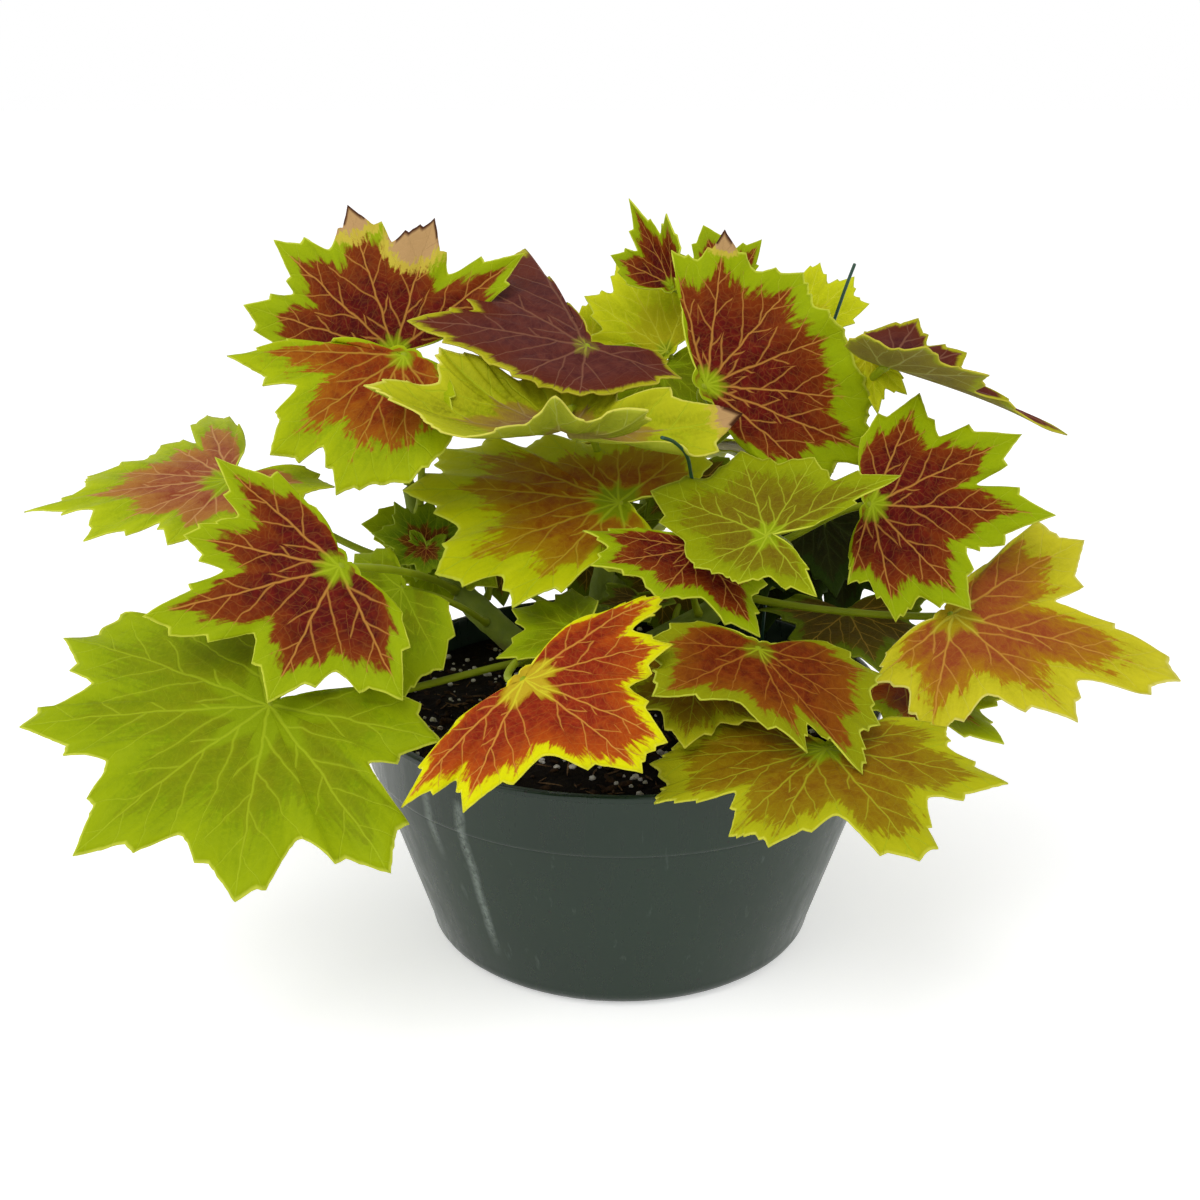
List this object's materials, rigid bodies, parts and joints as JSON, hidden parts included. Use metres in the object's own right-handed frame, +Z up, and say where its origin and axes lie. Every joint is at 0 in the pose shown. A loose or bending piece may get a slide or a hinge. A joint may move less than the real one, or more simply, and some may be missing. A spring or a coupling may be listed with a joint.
{
  "type": "potted geranium",
  "caption": "Zonal geranium with pointed, maroon-zoned lime leaves on branching stems, growing in a low round plastic nursery pot.",
  "frame": {"origin": "centre of the pot's flat underside, where it rests", "axes": "+Z up, -Y towards the side of the plant that is its front, +X to the right seen from the front"},
  "size_m": [0.3568, 0.2595, 0.225],
  "materials": {
    "pot_plastic": "satin",
    "potting_mix": "matte",
    "green_stem": "satin",
    "lime_leaf": "satin",
    "brick_leaf": "satin",
    "maroon_leaf": "satin",
    "coated_wire": "satin"
  },
  "bodies": {
    "root": {"pot": "pot_plastic", "soil": "potting_mix", "stems": "green_stem", "young_shoot": "green_stem", "wire_front": "coated_wire", "wire_back": "coated_wire", "leaf_low_left": "lime_leaf", "leaf_maroon_left": "maroon_leaf", "leaf_behind_left": "lime_leaf", "leaf_far_left": "brick_leaf", "leaf_top_left": "maroon_leaf", "leaf_brick_left": "brick_leaf", "leaf_front_red": "maroon_leaf", "leaf_front_small": "lime_leaf", "leaf_front_centre": "brick_leaf", "leaf_cupped": "lime_leaf", "leaf_flat_top": "maroon_leaf", "leaf_shaded_centre": "lime_leaf", "leaf_upright_right": "maroon_leaf", "leaf_green_right": "lime_leaf", "leaf_small_maroon": "maroon_leaf", "leaf_drooping": "maroon_leaf", "leaf_under_drooping": "lime_leaf", "leaf_low_right": "lime_leaf", "leaf_star_right": "maroon_leaf", "leaf_brick_right": "brick_leaf", "leaf_under_brick": "brick_leaf", "leaf_shaded_right": "lime_leaf", "leaf_behind_star": "lime_leaf", "leaf_right_edge": "maroon_leaf", "leaf_back_yellow": "lime_leaf", "leaf_back_green": "lime_leaf", "leaf_folded": "maroon_leaf", "leaf_back_maroon": "maroon_leaf", "leaf_back_lime": "lime_leaf", "leaf_rear_left": "brick_leaf", "leaf_rear_middle": "maroon_leaf", "leaf_rear_right": "maroon_leaf", "leaf_rear_side": "lime_leaf", "leaf_rear_low": "lime_leaf", "leaf_rear_low_right": "brick_leaf", "leaf_rear_low_left": "lime_leaf", "leaf_rear_top": "brick_leaf"}
  },
  "joints": []
}
